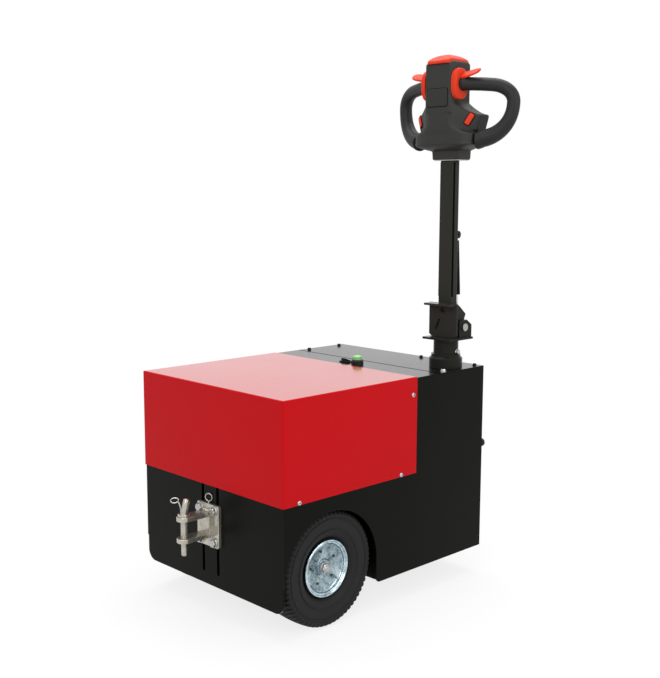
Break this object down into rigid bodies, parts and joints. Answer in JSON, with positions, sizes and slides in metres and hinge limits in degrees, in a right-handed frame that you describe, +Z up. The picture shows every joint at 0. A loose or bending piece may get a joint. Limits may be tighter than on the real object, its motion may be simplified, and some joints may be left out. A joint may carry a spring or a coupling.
{
  "type": "walk-behind electric tow tug",
  "caption": "Walk-behind electric baggage tow tug: black sheet body, red hood, off-centre tilting tiller with loop handles, pin hitch and small pneumatic drive wheels.",
  "frame": {"origin": "centre of the whole part's box, on the floor", "axes": "X across the tug, Y from the hitch end to the tiller end, Z up"},
  "size_m": [0.616, 0.768, 1.25],
  "materials": {
    "black_coat": "satin black powder coat on steel sheet",
    "red_coat": "semi-gloss red powder coat on steel sheet",
    "battery_case": "dark moulded battery case",
    "axle_casting": "dark painted casting",
    "green_dome": "green dome on a black bezel",
    "switch_black": "black moulded plastic",
    "hitch_zinc": "zinc-plated steel, slightly warm",
    "rim_zinc": "zinc-plated pressed steel",
    "tyre_rubber": "black rubber",
    "pin_steel": "plated steel",
    "head_plastic": "dark grey moulded plastic with a fine grain",
    "panel_plastic": "dark grey moulded plastic",
    "orange_plastic": "orange-red moulded plastic",
    "grip_rubber": "black grip coating",
    "rod_chrome": "polished rod"
  },
  "bodies": {
    "chassis": {"tow_end_plate": "black_coat", "side_plate_left": "black_coat", "side_plate_right": "black_coat", "tiller_end_plate": "black_coat", "floor_pan": "black_coat", "wheel_bays": "black_coat", "battery_tray": "black_coat", "battery_pack": "battery_case", "drive_axle": "axle_casting", "steer_bridge": "black_coat", "control_strip": "black_coat", "deck_cover": "black_coat", "hood": "red_coat", "post_collar": "black_coat", "start_button": "green_dome", "rocker_switch": "switch_black", "charge_socket": "switch_black", "latch_knob": "switch_black", "hitch_plate": "hitch_zinc", "hitch_jaw": "hitch_zinc", "tow_pin": "hitch_zinc", "lynch_pins": "hitch_zinc"},
    "rear_wheel_left": {"rim_left": "rim_zinc", "tyre_left": "tyre_rubber"},
    "rear_wheel_right": {"rim_right": "rim_zinc", "tyre_right": "tyre_rubber"},
    "post": {"post_tube": "black_coat", "tilt_base": "black_coat", "hinge_pins": "pin_steel"},
    "tiller": {"column": "black_coat", "column_foot": "black_coat", "head_shell": "head_plastic", "head_panel": "panel_plastic", "belly_button": "orange_plastic", "side_buttons": "orange_plastic", "thumb_wheel_left": "orange_plastic", "thumb_wheel_right": "orange_plastic", "handle_left": "grip_rubber", "handle_right": "grip_rubber", "gas_cylinder": "black_coat"},
    "gas_rod": {"gas_rod": "rod_chrome"},
    "fork": {"steer_fork": "black_coat", "fork_axle": "pin_steel"},
    "front_wheel": {"front_rim": "rim_zinc", "front_tyre": "tyre_rubber"}
  },
  "joints": [
    {"name": "rear_wheel_left_spin", "type": "hinge", "parent": "chassis", "child": "rear_wheel_left", "pos_m": [-0.255, -0.144, 0.13], "axis": [1, 0, 0], "continuous": true},
    {"name": "rear_wheel_right_spin", "type": "hinge", "parent": "chassis", "child": "rear_wheel_right", "pos_m": [0.133, -0.144, 0.13], "axis": [1, 0, 0], "continuous": true},
    {"name": "steer", "type": "hinge", "parent": "chassis", "child": "post", "pos_m": [0.132, 0.284, 0.547], "axis": [0, 0, 1], "range_deg": [-75, 75]},
    {"name": "tiller_tilt", "type": "hinge", "parent": "post", "child": "tiller", "pos_m": [0.132, 0.304, 0.617], "axis": [-1, 0, 0], "range_deg": [0, 75], "stiffness_Nm_per_rad": 20, "springref_deg": -20.05},
    {"name": "gas_rod_slide", "type": "slide", "parent": "tiller", "child": "gas_rod", "axis": [0, -0.0622, 0.9981], "range_m": [0, 0.0285]},
    {"name": "fork_steer", "type": "hinge", "parent": "chassis", "child": "fork", "pos_m": [-0.061, 0.246, 0.24], "axis": [0, 0, 1], "range_deg": [-75, 75]},
    {"name": "front_wheel_spin", "type": "hinge", "parent": "fork", "child": "front_wheel", "pos_m": [-0.061, 0.246, 0.095], "axis": [1, 0, 0], "continuous": true}
  ],
  "couplings": [
    {"joint": "gas_rod_slide", "follows": "tiller_tilt", "m_per_rad": 0.02139},
    {"joint": "fork_steer", "follows": "steer", "ratio": 1}
  ]
}
